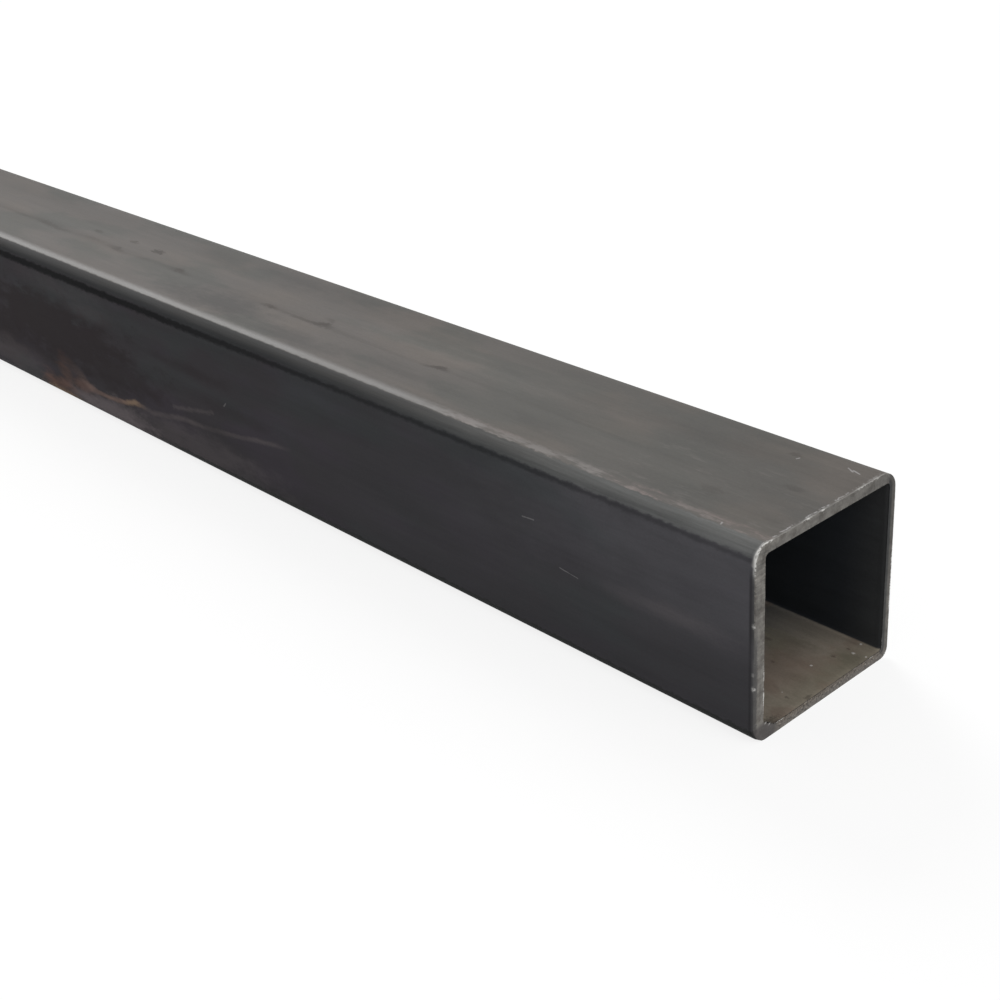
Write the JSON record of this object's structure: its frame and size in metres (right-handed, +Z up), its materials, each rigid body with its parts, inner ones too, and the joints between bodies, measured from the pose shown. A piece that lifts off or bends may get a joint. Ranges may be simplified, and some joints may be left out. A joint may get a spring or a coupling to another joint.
{
  "type": "square steel tube",
  "caption": "Length of square hollow section with rounded corners, an inside weld bead and saw-cut ends, for frames, posts and brackets.",
  "frame": {"origin": "middle of the face the tube lies on, half way along its length", "axes": "+X along the tube, towards the open end that the picture shows; +Z up; +Y away from the face that carries the rust marks"},
  "size_m": [1, 0.05, 0.05],
  "materials": {
    "mill_scale_steel": "dark satin mill scale with grey saw-cut ends and light rust marks"
  },
  "bodies": {
    "root": {"tube": "mill_scale_steel"}
  },
  "joints": []
}
